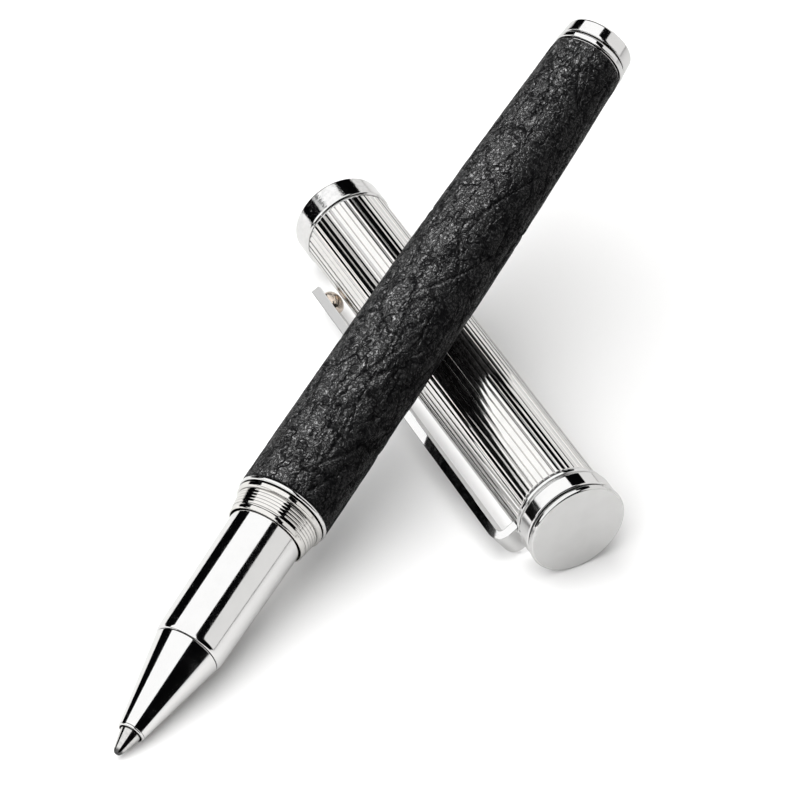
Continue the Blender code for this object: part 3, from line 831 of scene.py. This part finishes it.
def build_table():
    """White table, brighter far off to the camera and greyer in reflections."""
    low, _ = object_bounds()
    bm = bmesh.new()
    bm.faces.new(loop(bm, [(x * TABLE_HALF, y * TABLE_HALF, 0)
                           for x, y in ((-1, -1), (1, -1), (1, 1), (-1, 1))]))
    table = mesh_object("table_top", bm)
    table.location.z = low.z - 0.005 * MM
    mat, tree, bsdf = start_material("table_white")
    place = local_mm(tree, False)
    cloud = add(tree, "ShaderNodeTexNoise", {"Vector": place, "Scale": 0.01, "Detail": 2.0})
    tone = mix_colour(tree, cloud.outputs[0], (0.795, 0.793, 0.790), (0.81, 0.809, 0.807))
    dim = mix_colour(tree, cloud.outputs[0], (0.540, 0.537, 0.532), (0.555, 0.553, 0.549))
    mirrored = add(tree, "ShaderNodeLightPath").outputs["Is Glossy Ray"]
    tree.links.new(mix_colour(tree, mirrored, tone, dim), bsdf.inputs["Base Color"])
    bsdf.inputs["Roughness"].default_value = 0.9
    bsdf.inputs["Specular IOR Level"].default_value = 0.0
    away = add(tree, "ShaderNodeVectorMath", {0: place}, operation="LENGTH").outputs[1]
    seen = add(tree, "ShaderNodeLightPath").outputs["Is Camera Ray"]
    lift = add(tree, "ShaderNodeMath", {0: remap(tree, away, 120.0, 330.0, 0.0, 0.75),
                                        1: seen}, operation="MULTIPLY").outputs[0]
    bsdf.inputs["Emission Color"].default_value = (1.0, 1.0, 1.0, 1.0)
    tree.links.new(lift, bsdf.inputs["Emission Strength"])
    table.data.materials.append(mat)


def build_lights():
    """Two overhead panels, a wall panel, two small cards and the leather's lamp."""
    up = FILL_UP
    card("softbox_fill", [
        (-38, -162, up), (67, -85, up), (188, 72, up), (142, 219, up), (89, 293, up),
        (75, 560, up), (40, 560, up), (-114, 368, up), (-259, 304, up), (-345, 345, up),
        (-900, 700, up), (-1500, 500, up), (-1500, -900, up), (-500, -700, up)], 3.1,
        gloss=False)
    up = SOFTBOX_UP
    card("softbox", [
        (-30, -385, up), (228, -189, up), (420, 147, up), (353, 635, up), (213, 726, up),
        (160, 1466, up), (73, 1466, up), (-254, 1018, up), (-619, 866, up), (-690, 920, up),
        (-945, 975, up), (-2400, 1867, up), (-4000, 1333, up), (-4000, -2400, up),
        (-1333, -1867, up)], 1.13, matte=False)
    card("edge_card", [(-16, 47, 34), (-16, 70, 34), (-16, 70, 54), (-16, 47, 54)], 0.72,
         matte=False)
    card("under_cap", [(8.9, -27, 4.5), (8.9, 29, 4.5), (12.5, 29, 0.8), (12.5, -27, 0.8)],
         6.0, gloss=False)
    leather_lamp()
    card("reflector", [(REFLECTOR_X, y, z) for y, z in (
        (540, 9), (420, 150), (308, 206), (-82, 391), (-277, 551), (-528, 600), (-528, 9))],
        0.82, (1.0, 0.993, 0.982))


def build_world():
    """White to the camera, dim to matte surfaces and nearly black in reflections."""
    world = bpy.data.worlds.new("studio")
    bpy.context.scene.world = world
    world.use_nodes = True
    tree = world.node_tree
    tree.nodes.clear()
    path = add(tree, "ShaderNodeLightPath")
    seen = add(tree, "ShaderNodeBackground", {"Color": (1, 1, 1, 1), "Strength": 1.0})
    soft = add(tree, "ShaderNodeBackground", {"Color": (1, 1, 1, 1), "Strength": 0.157})
    dark = add(tree, "ShaderNodeBackground", {"Color": (0.0015, 0.0015, 0.0018, 1),
                                              "Strength": 1.0})
    one = add(tree, "ShaderNodeMixShader", {0: path.outputs["Is Glossy Ray"],
                                            1: soft.outputs[0], 2: dark.outputs[0]})
    two = add(tree, "ShaderNodeMixShader", {0: path.outputs["Is Camera Ray"],
                                            1: one.outputs[0], 2: seen.outputs[0]})
    add(tree, "ShaderNodeOutputWorld", {0: two.outputs[0]})


def build_camera():
    view = bpy.context.scene.view_settings
    view.view_transform, view.look = "Standard", "None"

    data = bpy.data.cameras.new("camera")
    data.lens, data.sensor_width = LENS, SENSOR
    data.clip_start, data.clip_end = 0.02, 50.0
    camera = bpy.data.objects.new("camera", data)
    bpy.context.collection.objects.link(camera)
    camera.location = Vector(CAMERA_AT) * MM
    aim = Vector(CAMERA_AIM) * MM
    camera.rotation_mode = "QUATERNION"
    camera.rotation_quaternion = (aim - camera.location).to_track_quat("-Z", "Y")
    bpy.context.scene.camera = camera


build_cap()
build_clip()
build_front()
build_refill()
build_spring_set()
build_barrel()
finish_nodes()
build_table()
build_lights()
build_world()
build_camera()
